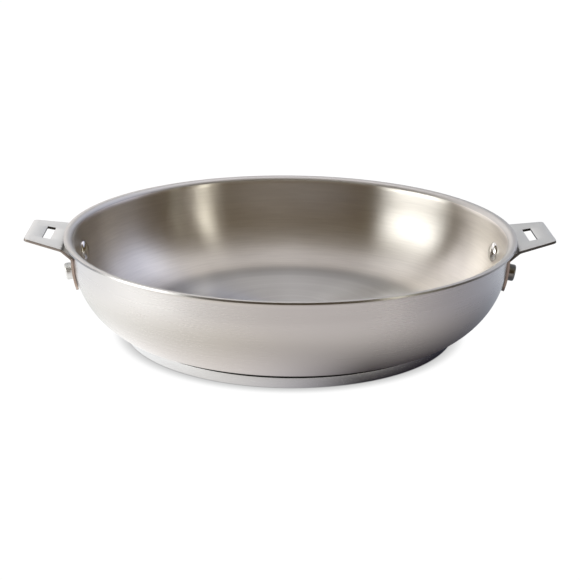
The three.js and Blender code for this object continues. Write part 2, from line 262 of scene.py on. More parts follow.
@dataclass(frozen=True)
class Steel:
    """A stainless steel finish.

    Attributes:
        name: The finish's name.
        colour: Base colour of the metal.
        roughness: Mean roughness.
        stretch: Anisotropy, across the lines.
        grain: The way the lines run.
        pitch: Distance between the fine lines.
        depth: Depth of the fine lines, in micrometres.
        band_pitch: Distance between the broad lines.
        band: Share by which the broad lines change the colour.
        wander: How often a line changes on its way, in changes per metre.
        metal: 1 for bare metal, 0 for a dull non-metal, which the painted seam shade uses.
    """

    name: str
    colour: Colour
    roughness: float
    stretch: float = 0.0
    grain: Grain = Grain.ROUND
    pitch: float = 0.5
    depth: float = 2.0
    band_pitch: float = 3.0
    band: float = 0.05
    wander: float = 9.0
    metal: float = 1.0

    ACROSS_THE_RINGS: ClassVar[float] = 0.25
    FINE_SHADE: ClassVar[float] = 0.4
    FINE_ROUGHNESS: ClassVar[float] = 0.16
    SMUDGE_ROUGHNESS: ClassVar[float] = 0.12
    SMUDGE_SCALE: ClassVar[float] = 28.0

    def material(self) -> bpy.types.Material:
        """Makes the finish's material.

        Returns:
            The material.
        """
        made = bpy.data.materials.new(self.name)
        shader = Shader(made)
        layer = self.layer(shader)
        bump = shader.node(
            "ShaderNodeBump", sockets={"Strength": 1.0, "Distance": 1.0, "Height": layer.height},
        )
        steel = shader.node("ShaderNodeBsdfPrincipled", sockets={
            "Base Color": layer.colour,
            "Roughness": layer.roughness,
            "Metallic": self.metal,
            "Anisotropic": self.stretch,
            "Anisotropic Rotation": self.ACROSS_THE_RINGS,
            "Normal": bump.outputs[0],
        })
        shader.node("ShaderNodeOutputMaterial", sockets={"Surface": steel.outputs[0]})
        return made

    def layer(self, shader: Shader) -> Layer:
        """Works out the finish's look over a piece.

        Args:
            shader: The shader to add to.

        Returns:
            The look.
        """
        x, y, z, radius = shader.axes("Object")
        if self.grain is Grain.ALONG:
            across, along, other = y, x, z
        else:
            across, along, other = radius + z, x, y
        fine = self._lines(shader, across, along, other, self.pitch)
        broad = self._lines(shader, across, along, other, self.band_pitch)
        cloud = shader.node("ShaderNodeTexNoise", sockets={
            "Vector": shader.node("ShaderNodeTexCoord").outputs["Object"],
            "Scale": self.SMUDGE_SCALE, "Detail": NOISE_DETAIL,
        })
        smudge = shader.value(cloud)
        height = self.depth * MICRON * (fine + 2 * broad)
        fine, broad, smudge = fine - NOISE_MIDDLE, broad - NOISE_MIDDLE, smudge - NOISE_MIDDLE
        shade = 1 + self.band * broad + self.FINE_SHADE * self.band * fine
        change = 1 + self.FINE_ROUGHNESS * fine + self.SMUDGE_ROUGHNESS * smudge
        return Layer(shader.scaled(self.colour, shade), self.roughness * change, height)

    def _lines(self, shader: Shader, across: Value, along: Value, other: Value, pitch: float) -> Value:
        """Noise drawn out along the grain.

        Args:
            shader: The shader to add to.
            across: Place across the lines, in metres.
            along: Place along the lines.
            other: The remaining place, which changes slowly too.
            pitch: Distance between the lines.

        Returns:
            A value about 0.5.
        """
        drawn = shader.node("ShaderNodeCombineXYZ", sockets={
            0: along * self.wander, 1: other * self.wander, 2: across * (1 / (pitch * MM)),
        })
        noise = shader.node("ShaderNodeTexNoise", sockets={
            "Vector": drawn.outputs[0], "Scale": 1.0, "Detail": NOISE_DETAIL, "Roughness": NOISE_ROUGHNESS,
        })
        return shader.value(noise)


@dataclass(frozen=True)
class TurnedSteel(Steel):
    """A turned finish about the pan's axis that fades into the finish round it, with a ring of painted shade
    towards its edge.

    Attributes:
        round_it: The finish round it.
        inner: Radius where the fade starts.
        outer: Radius where it ends.
        shade_ring: Radius of a darker ring of painted shade towards the floor's corner.
        darker: Share by which that ring is darker.
        ring_inside: Width of the ring's soft inner side.
        ring_outside: Width of its soft outer side.
        ring_overlap: Width that the two sides share.
    """

    round_it: Steel | None = None
    inner: float = 60.0
    outer: float = 90.0
    shade_ring: float = 80.0
    darker: float = 0.0
    ring_inside: float = 22.0
    ring_outside: float = 14.0
    ring_overlap: float = 1.0

    def layer(self, shader: Shader) -> Layer:
        """Blends the two finishes by the radius, and darkens a ring towards the edge with painted shade.

        Args:
            shader: The shader to add to.

        Returns:
            The look.
        """
        own = super().layer(shader)
        other = self.round_it.layer(shader)
        radius = shader.axes("Object")[3]
        share = shader.step(radius, self.inner * MM, self.outer * MM)
        # Painted shade: a darker ring towards the floor's corner.
        rise = shader.step(radius, (self.shade_ring - self.ring_inside) * MM, self.shade_ring * MM)
        top = self.shade_ring - self.ring_overlap
        fall = shader.step(radius, top * MM, (top + self.ring_outside) * MM)
        ring = rise * (1 - fall)
        return Layer(
            shader.scaled(shader.mix(share, own.colour, other.colour), 1 - self.darker * ring),
            own.roughness + (other.roughness - own.roughness) * share,
            own.height + (other.height - own.height) * share,
        )


BOWL_OUTSIDE = Steel(
    "satin_outside", (0.62, 0.6, 0.58), 0.28, stretch=0.7,
    pitch=0.4, depth=0.05, band_pitch=2.4, band=0.008,
)
BOWL_WALL = Steel(
    "brushed_inside_wall", (0.76, 0.725, 0.685), 0.335, stretch=1.0,
    pitch=0.5, depth=1.2, band_pitch=1.8, band=0.22, wander=45.0,
)
BOWL_LIP = Steel(
    "satin_lip", (0.54, 0.525, 0.51), 0.44,
    pitch=0.45, depth=1.0, band_pitch=2.8, band=0.03,
)
BOWL_RIM = Steel(
    "sheared_rim", (0.45, 0.44, 0.43), 0.28,
    pitch=0.3, depth=0.5, band_pitch=2.0, band=0.1,
)
# The turned floor carries a darker ring of painted shade towards its corner.
BOWL_FLOOR = TurnedSteel(
    "turned_floor", (0.67, 0.67, 0.67), 0.3, stretch=1.0,
    pitch=1.1, depth=4.5, band_pitch=4.5, band=0.24, wander=8.0, round_it=BOWL_WALL, inner=74.0, outer=95.0,
    shade_ring=83.0, darker=0.32,
)
CAP_RING = Steel(
    "polished_ring", (0.62, 0.63, 0.63), 0.24, stretch=0.5,
    pitch=0.4, depth=1.0, band_pitch=2.0, band=0.03,
)
# Painted shade: a near-black, dull finish on the cap's shoulder that stands in for the shadow in the gap
# under the bowl.
CAP_SEAM_SHADE = Steel(
    "seam_painted_shade", (0.02, 0.02, 0.02), 0.9, pitch=0.5, depth=3.0, band=0.2, metal=0.0,
)
CAP_UNDERSIDE = Steel(
    "turned_underside", (0.62, 0.61, 0.6), 0.32, stretch=0.8,
    pitch=0.9, depth=4.0, band_pitch=4.0, band=0.14, wander=2.0,
)
LUG_SATIN = Steel(
    "satin_sheet", (0.66, 0.66, 0.65), 0.4, grain=Grain.ALONG,
    pitch=0.3, depth=1.5, band_pitch=1.6, band=0.03, wander=40.0,
)
LUG_EDGE = Steel(
    "sheared_edge", (0.26, 0.22, 0.19), 0.36, grain=Grain.ALONG,
    pitch=0.3, depth=3.0, band_pitch=1.2, band=0.12, wander=60.0,
)
# Painted shade: a darker copy of the sheared-edge finish for the right lug, on the side away from the
# window.
LUG_EDGE_SHADED = replace(LUG_EDGE, name="sheared_edge_painted_shade", colour=(0.11, 0.1, 0.09))
# A lighter copy of the sheared-edge finish for the leg's upright edges.
LUG_LEG_EDGE = replace(LUG_EDGE, name="lighter_leg_edge", colour=(0.46, 0.37, 0.32), roughness=0.4)
# Painted shade: a near-black copy of the edge finish for the slot's walls, which lie in shadow.
LUG_SLOT_SHADE = replace(LUG_EDGE, name="slot_wall_painted_shade", colour=(0.05, 0.045, 0.04), roughness=0.5)
RIVET_POLISH = Steel(
    "polished_rivet", (0.7, 0.69, 0.68), 0.19, pitch=0.6, depth=0.5, band=0.02,
)
RIVET_SATIN = Steel(
    "pressed_rivet_head", (0.72, 0.71, 0.7), 0.5,
    pitch=0.6, depth=1.5, band_pitch=1.5, band=0.12,
)
# Painted shade: a darker outer-head finish for the right lug's rivets, on the side away from the window.
RIVET_HEAD_SHADED = Steel(
    "rivet_head_painted_shade", (0.28, 0.27, 0.25), 0.3,
    pitch=0.6, depth=3.0, band_pitch=1.5, band=0.3,
)
CORE_ALUMINIUM = Steel(
    "mill_aluminium", (0.8, 0.81, 0.82), 0.45, stretch=0.4, pitch=0.6, band=0.06,
)


class Bench:
    """Modelling moves on the mesh in hand."""

    @staticmethod
    def clear() -> None:
        """Deselects every object."""
        bpy.ops.object.select_all(action="DESELECT")

    @staticmethod
    def hold(piece: bpy.types.Object) -> None:
        """Makes one object the only selected one, and the active one.

        Args:
            piece: The object.
        """
        Bench.clear()
        piece.select_set(True)
        bpy.context.view_layer.objects.active = piece

    @staticmethod
    def named(name: str) -> bpy.types.Object:
        """Names the object that was just added.

        Args:
            name: The piece's name.

        Returns:
            The object.
        """
        piece = bpy.context.object
        piece.name = name
        piece.data.name = name
        return piece

    @staticmethod
    def turned(name: str, profile: Sequence[Point], steps: int) -> bpy.types.Object:
        """Spins a profile once round Z.

        Args:
            name: The piece's name.
            profile: Points of radius and height that start and end on the axis.
            steps: Number of steps in a turn.

        Returns:
            The closed skin.
        """
        Bench.clear()
        bpy.ops.mesh.primitive_plane_add(size=MM)
        piece = Bench.named(name)
        bpy.ops.object.mode_set(mode="EDIT")
        bpy.ops.mesh.select_mode(type="VERT")
        bpy.ops.mesh.select_all(action="SELECT")
        bpy.ops.mesh.merge(type="CENTER")
        last = (0.0, 0.0)
        for number, point in enumerate(profile):
            move = ((point[0] - last[0]) * MM, 0.0, (point[1] - last[1]) * MM)
            if number == 0:
                bpy.ops.transform.translate(value=move)
            else:
                bpy.ops.mesh.extrude_vertices_move(TRANSFORM_OT_translate={"value": move})
            last = point
        bpy.ops.mesh.select_all(action="SELECT")
        bpy.ops.mesh.spin(steps=steps, angle=FULL_TURN, center=(0, 0, 0), axis=(0, 0, 1))
        bpy.ops.mesh.select_all(action="SELECT")
        bpy.ops.mesh.remove_doubles(threshold=MERGE_WITHIN)
        bpy.ops.mesh.normals_make_consistent(inside=False)
        bpy.ops.object.mode_set(mode="OBJECT")
        return piece

    @staticmethod
    def drop(piece: bpy.types.Object, kind: str) -> None:
        """Holds an object in object mode with nothing of its mesh selected.

        Args:
            piece: The object.
            kind: What is selected next: VERT, EDGE or FACE.
        """
        Bench.hold(piece)
        bpy.ops.object.mode_set(mode="EDIT")
        bpy.ops.mesh.select_mode(type=kind)
        bpy.ops.mesh.select_all(action="DESELECT")
        bpy.ops.object.mode_set(mode="OBJECT")

    @staticmethod
    def pick(piece: bpy.types.Object, test: FaceTest) -> None:
        """Selects faces by their middle, in millimetres, and their normal, and goes to edit mode.

        Args:
            piece: The object.
            test: Says if a face is wanted.
        """
        Bench.drop(piece, "FACE")
        for face in piece.data.polygons:
            face.select = test(face.center / MM, face.normal)
        bpy.ops.object.mode_set(mode="EDIT")

    @staticmethod
    def dress(piece: bpy.types.Object, finish: Steel, test: FaceTest | None = None) -> None:
        """Gives faces a finish.

        Args:
            piece: The object.
            finish: The finish.
            test: Says which faces; all of them if left out.
        """
        material = bpy.data.materials.get(finish.name) or finish.material()
        piece.data.materials.append(material)
        if test is None:
            return
        Bench.pick(piece, test)
        piece.active_material_index = len(piece.data.materials) - 1
        bpy.ops.object.material_slot_assign()
        bpy.ops.object.mode_set(mode="OBJECT")

    @staticmethod
    def refinish(piece: bpy.types.Object, old: Steel, new: Steel) -> None:
        """Swaps one finish of a piece for another.

        Args:
            piece: The object.
            old: The finish that it has.
            new: The finish that it gets.
        """
        slot = piece.material_slots[piece.material_slots.find(old.name)]
        slot.material = bpy.data.materials.get(new.name) or new.material()

    @staticmethod
    def modifier(piece: bpy.types.Object, kind: str, **settings: object) -> None:
        """Adds a modifier and applies it.

        Args:
            piece: The object.
            kind: The modifier's type.
            settings: Its settings.
        """
        Bench.hold(piece)
        made = piece.modifiers.new(kind.lower(), kind)
        for name, value in settings.items():
            setattr(made, name, value)
        bpy.ops.object.modifier_apply(modifier=made.name)

    @staticmethod
    def smooth(piece: bpy.types.Object, degrees: float) -> None:
        """Shades smoothly, apart from edges sharper than an angle in degrees."""
        Bench.hold(piece)
        bpy.ops.object.shade_smooth_by_angle(angle=math.radians(degrees))

    @staticmethod
    def place(piece: bpy.types.Object, matrix: Matrix) -> None:
        """Moves a finished mesh to its place and leaves its object at the origin.

        Args:
            piece: The object.
            matrix: The move, in metres.
        """
        Bench.hold(piece)
        piece.matrix_world = matrix
        bpy.ops.object.transform_apply(location=True, rotation=True, scale=True)

    @staticmethod
    def copied(piece: bpy.types.Object, name: str) -> bpy.types.Object:
        """Copies a modelled piece, with its own mesh.

        Args:
            piece: The piece.
            name: The copy's name.

        Returns:
            The copy.
        """
        copy = piece.copy()
        copy.data = piece.data.copy()
        copy.name = copy.data.name = name
        bpy.context.scene.collection.objects.link(copy)
        return copy

    @staticmethod
    def fit(piece: bpy.types.Object, node: str, slot: str) -> None:
        """Hands a finished piece to the frame.

        Args:
            piece: The object.
            node: The solid that it stands for.
            slot: The record's material slot; not used.
        """
        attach(piece, BODY)
        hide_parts(node)
        log.info("%s: %d faces", piece.name, len(piece.data.polygons))


def on_arc(centre: Point, radius: float, angle: float) -> Point:
    """A point on a circle.

    Args:
        centre: The circle's centre, as radius and height.
        radius: The circle's radius.
        angle: Angle from straight down towards the rim.

    Returns:
        The point.
    """
    return centre[0] + radius * math.sin(angle), centre[1] - radius * math.cos(angle)


def arc(centre: Point, radius: float, start: float, end: float, steps: int) -> list[Point]:
    """Points along an arc, both ends included.

    Args:
        centre: The circle's centre.
        radius: The circle's radius.
        start: First angle, as in on_arc.
        end: Last angle.
        steps: Number of steps.

    Returns:
        The points.
    """
    return [on_arc(centre, radius, start + (end - start) * i / steps) for i in range(steps + 1)]


def outward(middle: Vector) -> Vector:
    """The level direction away from the pan's axis at a place."""
    return Vector((middle.x, middle.y, 0)).normalized()


@dataclass
class Bowl:
    """The drawn bowl with its flared pouring lip.

    Attributes:
        height: Height of the lip's top over the table.
        wall_radius: Outer radius of the upright wall.
        sheet: Thickness of the sheet.
        corner_radius: Outer radius of the floor's corner.
        corner_turn: Angle that the corner turns through before the side takes over.
        inner_corner: Radius of the floor's corner on the inner face.
        straight_wall: Upright stretch under the lip.
        overhang: Reach of the lip past the wall.
        heel: Depth that the outer face is pressed in where it meets the base.
        lip_radius: Radius of the lip's bend, below.
        lip_turn: Angle that the lip turns outwards through.
        lip_finish: Height over the bend's start from which the lip has its own finish.
        bevel: Setback of the sheared edge's upper corner.
        floor_height: Height of the floor's underside.
        floor_rings: Radii of the rings of the flat floor.
        turned_rise: Height over the floor that its turned finish reaches.
        corner_steps: Steps round the floor's corner.
        side_steps: Steps up the side.
        lip_steps: Steps round the lip's bend.
        steps: Steps round the axis.
        sharp: Angle from which an edge is shaded sharp, in degrees.
    """

    height: float = 59.1
    wall_radius: float = 125.0
    sheet: float = 1.0
    corner_radius: float = 21.0
    corner_turn: float = math.radians(37)
    inner_corner: float = 36.0
    straight_wall: float = 7.3
    overhang: float = 5.0
    heel: float = 0.6
    lip_radius: float = 3.6
    lip_turn: float = math.radians(94)
    lip_finish: float = 2.6
    bevel: float = 0.35
    floor_height: float = 7.4
    floor_rings: tuple[float, ...] = (0.0, 24.0, 48.0, 66.0, 86.0)
    turned_rise: float = 1.0
    corner_steps: int = 24
    side_steps: int = 30
    lip_steps: int = 14
    steps: int = 288
    sharp: float = 60.0

    def __post_init__(self) -> None:
        """Works out the arcs' centres."""
        self.lip_slope = QUARTER_TURN - self.lip_turn
        reach = self.lip_radius * (1 - math.cos(self.lip_turn))
        rise = self.lip_radius * math.sin(self.lip_turn)
        self.lip_straight = (self.overhang - self.sheet / 2 - reach) / math.cos(self.lip_slope)
        self.lip_start = self.height - self.sheet - rise - self.lip_straight * math.sin(self.lip_slope)
        self.side_top = self.lip_start - self.straight_wall
        corner_rise = self.corner_radius * (1 - math.cos(self.corner_turn))
        self.side_radius = (self.side_top - self.floor_height - corner_rise) / math.cos(self.corner_turn)
        self.side_centre = (self.wall_radius - self.side_radius, self.side_top)
        swing = (self.side_radius - self.corner_radius) * math.sin(self.corner_turn)
        self.corner_centre = (self.side_centre[0] + swing, self.floor_height + self.corner_radius)

    def line(self, offset: float) -> list[Point]:
        """The bowl's outline from the axis to the lip's end.

        Args:
            offset: Move outwards from the outer face.

        Returns:
            The points.
        """
        heel, centre, radius, turn = self.heel, self.corner_centre, self.corner_radius, self.corner_turn
        floor_z = self.floor_height - offset
        if offset:
            heel, radius = 0.0, self.inner_corner
            spare, rise = self.side_radius + offset - radius, self.side_top - floor_z - radius
            turn = math.acos(rise / spare)
            centre = (self.side_centre[0] + spare * math.sin(turn), floor_z + radius)
        floor = [(reach, floor_z + heel) for reach in self.floor_rings]
        corner = []
        for i in range(self.corner_steps + 1):
            share = i / self.corner_steps
            pressed = heel * min(1.0, 2 * (1 - share)) ** 2
            corner.append(on_arc(centre, radius - pressed, turn * share))
        side = arc(self.side_centre, self.side_radius + offset, turn, QUARTER_TURN, self.side_steps)
        lip_centre = (self.wall_radius + self.lip_radius, self.lip_start)
        lip_end = -QUARTER_TURN - self.lip_turn
        lip = arc(lip_centre, self.lip_radius - offset, -QUARTER_TURN, lip_end, self.lip_steps)
        end_x = lip[-1][0] + self.lip_straight * math.cos(self.lip_slope)
        end_z = lip[-1][1] + self.lip_straight * math.sin(self.lip_slope)
        return [*floor, *corner, *side[1:], *lip, (end_x, end_z)]

    def radius_at(self, z: float) -> float:
        """Outer radius of the curved side at a height."""
        drop = max(0.0, self.side_top - z)
        return self.side_centre[0] + math.sqrt(self.side_radius ** 2 - drop ** 2)

    def lean_at(self, z: float) -> float:
        """Angle of the side's outward normal below the horizontal, at a height."""
        return math.asin(max(0.0, self.side_top - z) / self.side_radius)

    def build(self) -> bpy.types.Object:
        """Models the bowl.

        Returns:
            The bowl.
        """
        outside = self.line(0.0)
        inside = self.line(-self.sheet)[::-1]
        edge = []
        for (x, z), reach in ((outside[-1], self.sheet / 2), (inside[0], self.sheet / 2 - self.bevel)):
            edge.append((x + reach * math.cos(self.lip_slope), z + reach * math.sin(self.lip_slope)))
        bowl = Bench.turned("pan_bowl", [*outside, *edge, *inside], self.steps)
        Bench.smooth(bowl, self.sharp)
        return bowl

    def dress(self, bowl: bpy.types.Object) -> None:
        """Gives the bowl its finishes.

        Args:
            bowl: The bowl.
        """
        turned_top = self.floor_height + self.sheet + self.turned_rise
        rim_radius = self.wall_radius + self.overhang - self.sheet

        def faces_in(middle: Vector, normal: Vector) -> bool:
            """True for a face of the inner side, or the top of the lip."""
            across = normal.dot(outward(middle))
            return across < -BARELY or (normal.z > FACING and across < FACING)

        def is_turned(middle: Vector, normal: Vector) -> bool:
            """True for a face of the floor's turned finish."""
            return normal.z > NEARLY_LEVEL and middle.z < turned_top

        def is_lip(middle: Vector, _normal: Vector) -> bool:
            """True for a face of the flared lip, above or below."""
            return middle.z > self.lip_start + self.lip_finish

        def is_rim(middle: Vector, normal: Vector) -> bool:
            """True for a face of the lip's sheared edge."""
            return math.hypot(middle.x, middle.y) > rim_radius and normal.dot(outward(middle)) > FACING

        Bench.dress(bowl, BOWL_OUTSIDE)
        Bench.dress(bowl, BOWL_WALL, faces_in)
        Bench.dress(bowl, BOWL_FLOOR, is_turned)
        Bench.dress(bowl, BOWL_LIP, is_lip)
        Bench.dress(bowl, BOWL_RIM, is_rim)


@dataclass
class BaseCap:
    """The pressed cap that closes the sandwich base.

    Attributes:
        radius: Outer radius of the ring.
        height: Height of the cap's shoulder, with a seam between it and the bowl.
        sheet: Thickness of the sheet.
        foot_radius: Radius of the rounded foot.
        shoulder_radius: Radius of the shoulder.
        curl: Flat stretch of the shoulder under the bowl.
        seam_tilt: Upward share of the shoulder's normal from which it lies in the seam and takes the painted
            shade.
        rings: Radii of the rings of the flat underside.
        round_steps: Steps round the foot and the shoulder.
        steps: Steps round the axis.
        sharp: Angle from which an edge is shaded sharp, in degrees.
    """

    radius: float = 96.9
    height: float = 6.7
    sheet: float = 0.8
    foot_radius: float = 1.6
    shoulder_radius: float = 1.0
    curl: float = 2.0
    seam_tilt: float = 0.25
    rings: tuple[float, ...] = (0.0, 30.0, 60.0)
    round_steps: int = 8
    steps: int = 288
    sharp: float = 50.0

    def build(self) -> bpy.types.Object:
        """Models the cap.

        Returns:
            The cap.
        """
        foot_centre = (self.radius - self.foot_radius, self.foot_radius)
        shoulder_centre = (self.radius - self.shoulder_radius, self.height - self.shoulder_radius)
        curl_radius = shoulder_centre[0] - self.curl
        inner_steps = self.round_steps // 2
        profile = [
            *((radius, 0.0) for radius in self.rings),
            *arc(foot_centre, self.foot_radius, 0, QUARTER_TURN, self.round_steps),
            *arc(shoulder_centre, self.shoulder_radius, QUARTER_TURN, math.pi, self.round_steps),
            (curl_radius, self.height),
            (curl_radius, self.height - self.sheet),
            *arc(shoulder_centre, self.shoulder_radius - self.sheet, math.pi, QUARTER_TURN, inner_steps),
            *arc(foot_centre, self.foot_radius - self.sheet, QUARTER_TURN, 0, inner_steps),
            (0.0, self.sheet),
        ]
        cap = Bench.turned("base_ring", profile, self.steps)
        Bench.smooth(cap, self.sharp)
        return cap

    def dress(self, cap: bpy.types.Object) -> None:
        """Polishes the ring, turns the underside and paints shade into the seam: a near-black finish on the
        shoulder where the gap under the bowl lies in shadow.

        Args:
            cap: The cap.
        """

        def is_underside(middle: Vector, normal: Vector) -> bool:
            """True for the flat face that the pan stands on."""
            return normal.z < -FLAT and middle.z < BARELY

        def in_seam_shade(middle: Vector, normal: Vector) -> bool:
            """True for a face of the shoulder inside the seam, which takes the painted shade."""
            return normal.z > self.seam_tilt and middle.z > self.height - self.shoulder_radius

        Bench.dress(cap, CAP_RING)
        Bench.dress(cap, CAP_UNDERSIDE, is_underside)
        Bench.dress(cap, CAP_SEAM_SHADE, in_seam_shade)


class Side(Enum):
    """An end of the pan that carries a lug, with its turn about Z."""

    RIGHT = 0.0
    LEFT = math.pi


@dataclass
class Station:
    """A row of the lug's upper side.

    Attributes:
        x: Distance from the axis at mid width.
        z: Height.
        hug: How far the row has taken the wall's curve, from 0 on the tongue to 1 on the leg.
    """

    x: float
    z: float
    hug: float


@dataclass
class Lug:
    """A bent sheet lug: slotted tongue, neck under the lip and leg pressed to the wall's curve.

    Attributes:
        bowl: The bowl that it is riveted to.
        sheet: Thickness of the sheet.
        reach: Reach of the tongue past the rim.
        root_reach: Distance from the rim to the tongue's root.
        tip_drop: Depth of the tip under the rim's top.
        slope: Rise of the tongue towards its tip.
        tip_width: Width at the tip.
        width: Width at the root and on the leg.
        corner: Radius of the tip's corners.
        neck_drop: Drop from the tongue's root to the leg's top.
        bend: Radius of the bends.
        leg: Length of the leg.
        leg_curve: Radius of the leg's curve down the wall, flatter than the side's own.
        foot_corner: Radius of the foot's corners.
        slot_width: Width of the slot.
        slot_length: Length of the slot.
        slot_from_tip: Distance from the tip to the slot's middle.
        rivet_inset: Distance from the lug's side to a rivet.
        rivet_above_foot: Height of the rivets over the leg's foot.
        clearance: Gap between the leg and the wall.
        edge: Rounding of the sheet's edges.
        upper_hug: How far the rows hug the wall at the start and the end of the upper bend.
        lower_hug: The same for the lower bend.
        neck_shares: Places of the rows between the bends.
        side_shares: Places of the columns beside the slot.
        bend_steps: Steps round a bend.
        leg_steps: Steps down the leg.
        slot_steps: Steps along half the slot.
        corner_steps: Steps round a corner.
        corner_room: Length of the tip's last row, in corner radii.
        foot_room: Length of the foot's last row, in foot corner radii.
        slot_margin: Distance from the slot, along X and Y, that still belongs to its walls.
        rounded_from: Angle of an edge from which it is rounded, in degrees.
        sharp: Angle from which an edge is shaded sharp, in degrees.
    """

    bowl: Bowl
    sheet: float = 1.45
    reach: float = 20.7
    root_reach: float = -1.6
    tip_drop: float = 0.4
    slope: float = math.radians(10.9)
    tip_width: float = 40.0
    width: float = 54.8
    corner: float = 2.2
    neck_drop: float = 5.3
    bend: float = 3.0
    leg: float = 19.0
    leg_curve: float = 58.0
    foot_corner: float = 4.0
    slot_width: float = 4.8
    slot_length: float = 23.0
    slot_from_tip: float = 11.4
    rivet_inset: float = 8.9
    rivet_above_foot: float = 9.8
    clearance: float = 0.1
    edge: float = 0.22
    upper_hug: Point = (0.0, 0.2)
    lower_hug: Point = (0.8, 1.0)
    neck_shares: Point = (0.33, 0.67)
    side_shares: tuple[float, ...] = (0.3, 0.6, 1.0)
    bend_steps: int = 8
    leg_steps: int = 6
    slot_steps: int = 5
    corner_steps: int = 7
    corner_room: float = 1.5
    foot_room: float = 1.3
    slot_margin: Point = (0.6, 0.3)
    rounded_from: float = 50.0
    sharp: float = 35.0

    def __post_init__(self) -> None:
        """Works out the places that the section runs through."""
        rim = self.bowl.wall_radius + self.bowl.overhang
        self.tip = (rim + self.reach, self.bowl.height - self.tip_drop)
        root_x = rim + self.root_reach
        self.root = (root_x, self.tip[1] - (self.tip[0] - root_x) * math.tan(self.slope))
        self.leg_top = self.root[1] - self.neck_drop
        self.leg_foot = self.leg_top - self.leg
        self.rivet_z = self.leg_foot + self.rivet_above_foot
        self.lean = self.bowl.lean_at(self.rivet_z)
        self.rivet_spacing = self.width - 2 * self.rivet_inset
        self.slot_x = self.tip[0] - self.slot_from_tip

    def leg_radius(self, z: float) -> float:
        """Radius of the leg's inner face at a height, at mid width.

        Args:
            z: The height.

        Returns:
            The radius.
        """
        drop = max(0.0, self.bowl.side_top - z)
        swing = math.sqrt((self.leg_curve + self.clearance) ** 2 - drop ** 2)
        return self.bowl.wall_radius - self.leg_curve + swing

    def rounded(self, corner: Point, before: float, after: float, hugs: Point) -> list[Station]:
        """Stations round a bend between two straight runs.

        Args:
            corner: Where the runs would meet.
            before: Angle of the first run above the horizontal.
            after: Angle of the second run.
            hugs: How far the rows hug the wall at the bend's start and end.

        Returns:
            The stations.
        """
        tangent = self.bend * math.tan((after - before) / 2)
        start = (corner[0] + tangent * math.cos(before), corner[1] + tangent * math.sin(before))
        centre = (start[0] + self.bend * math.sin(before), start[1] - self.bend * math.cos(before))
        stations = []
        for i in range(self.bend_steps + 1):
            share = i / self.bend_steps
            angle = before + (after - before) * share
            stations.append(Station(
                centre[0] - self.bend * math.sin(angle),
                centre[1] + self.bend * math.cos(angle),
                hugs[0] + (hugs[1] - hugs[0]) * share,
            ))
        return stations

    def stations(self) -> list[Station]:
        """Rows of the upper side, from the tip of the tongue to the foot of the leg.

        Returns:
            The stations.
        """
        half_slot = self.slot_width / 2 * math.cos(self.slope)
        slot_ends = (self.slot_from_tip - half_slot, self.slot_from_tip + half_slot)
        backs = (0.0, self.corner_room * self.corner, *slot_ends)
        rise = math.tan(self.slope)
        rows = [Station(self.tip[0] - back, self.tip[1] - back * rise, 0.0) for back in backs]
        top = (self.leg_radius(self.leg_top), self.leg_top)
        neck = math.atan2(self.root[1] - top[1], self.root[0] - top[0])
        rows += self.rounded(self.root, self.slope, neck, self.upper_hug)
        lower = self.rounded(top, neck, QUARTER_TURN, self.lower_hug)
        first, last = rows[-1], lower[0]
        for share in self.neck_shares:
            rows.append(Station(
                first.x + (last.x - first.x) * share,
                first.z + (last.z - first.z) * share,
                first.hug + (last.hug - first.hug) * share,
            ))
        rows += lower
        low_z = self.leg_foot + self.foot_room * self.foot_corner
        start_z = rows[-1].z
        drops = [start_z + (low_z - start_z) * (i + 1) / self.leg_steps for i in range(self.leg_steps)]
        for z in (*drops, self.leg_foot):
            rows.append(Station(self.leg_radius(z), z, 1.0))
        return rows

    def half_width(self, station: Station) -> float:
        """Half the sheet's width at a station."""
        share = max(0.0, (station.x - self.root[0]) / (self.tip[0] - self.root[0]))
        return (self.width + (self.tip_width - self.width) * share) / 2

    def columns(self, half: float) -> list[float]:
        """Places across a row, with a column at each end of the slot.

        Args:
            half: Half the row's width.

        Returns:
            The places, from -half to half.
        """
        slot_end = self.slot_length / 2
        inner = [slot_end * i / self.slot_steps for i in range(-self.slot_steps, self.slot_steps + 1)]
        outer = [slot_end + (half - slot_end) * share for share in self.side_shares]
        return [*(-y for y in reversed(outer)), *inner, *outer]

    def build(self) -> bpy.types.Object:
        """Models a lug on +X.

        Returns:
            The lug.
        """
        rows = self.stations()[::-1]
        across = len(self.columns(1.0))
        Bench.clear()
        bpy.ops.mesh.primitive_grid_add(x_subdivisions=len(rows) - 1, y_subdivisions=across - 1, size=1.0)
        lug = Bench.named("lug")
        for vertex in lug.data.vertices:
            row = rows[round((vertex.co.x + 0.5) * (len(rows) - 1))]
            y = self.columns(self.half_width(row))[round((vertex.co.y + 0.5) * (across - 1))]
            sag = row.x - math.sqrt(row.x ** 2 - y ** 2)
            vertex.co = Vector((row.x - row.hug * sag, y, row.z)) * MM
        lug.data.update()
        self._cut_slot(lug)
        self._round_corners(lug)
        self.dress(lug)
        Bench.modifier(
            lug, "SOLIDIFY", thickness=self.sheet * MM, offset=-1.0, use_even_offset=True,
            material_offset_rim=1,
        )
        Bench.modifier(
            lug, "BEVEL", width=self.edge * MM, segments=3, limit_method="ANGLE",
            angle_limit=math.radians(self.rounded_from), use_clamp_overlap=True,
        )
        self._dress_edges(lug)
        Bench.smooth(lug, self.sharp)
        return lug

    def _cut_slot(self, lug: bpy.types.Object) -> None:
        """Takes the slot's faces out of the sheet.

        Args:
            lug: The lug, before it has its thickness.
        """

        def in_slot(middle: Vector, _normal: Vector) -> bool:
            """True for a face inside the slot."""
            return abs(middle.x - self.slot_x) < self.slot_width / 4 and abs(middle.y) < self.slot_length / 2

        Bench.pick(lug, in_slot)
        bpy.ops.mesh.delete(type="FACE")
        bpy.ops.object.mode_set(mode="OBJECT")

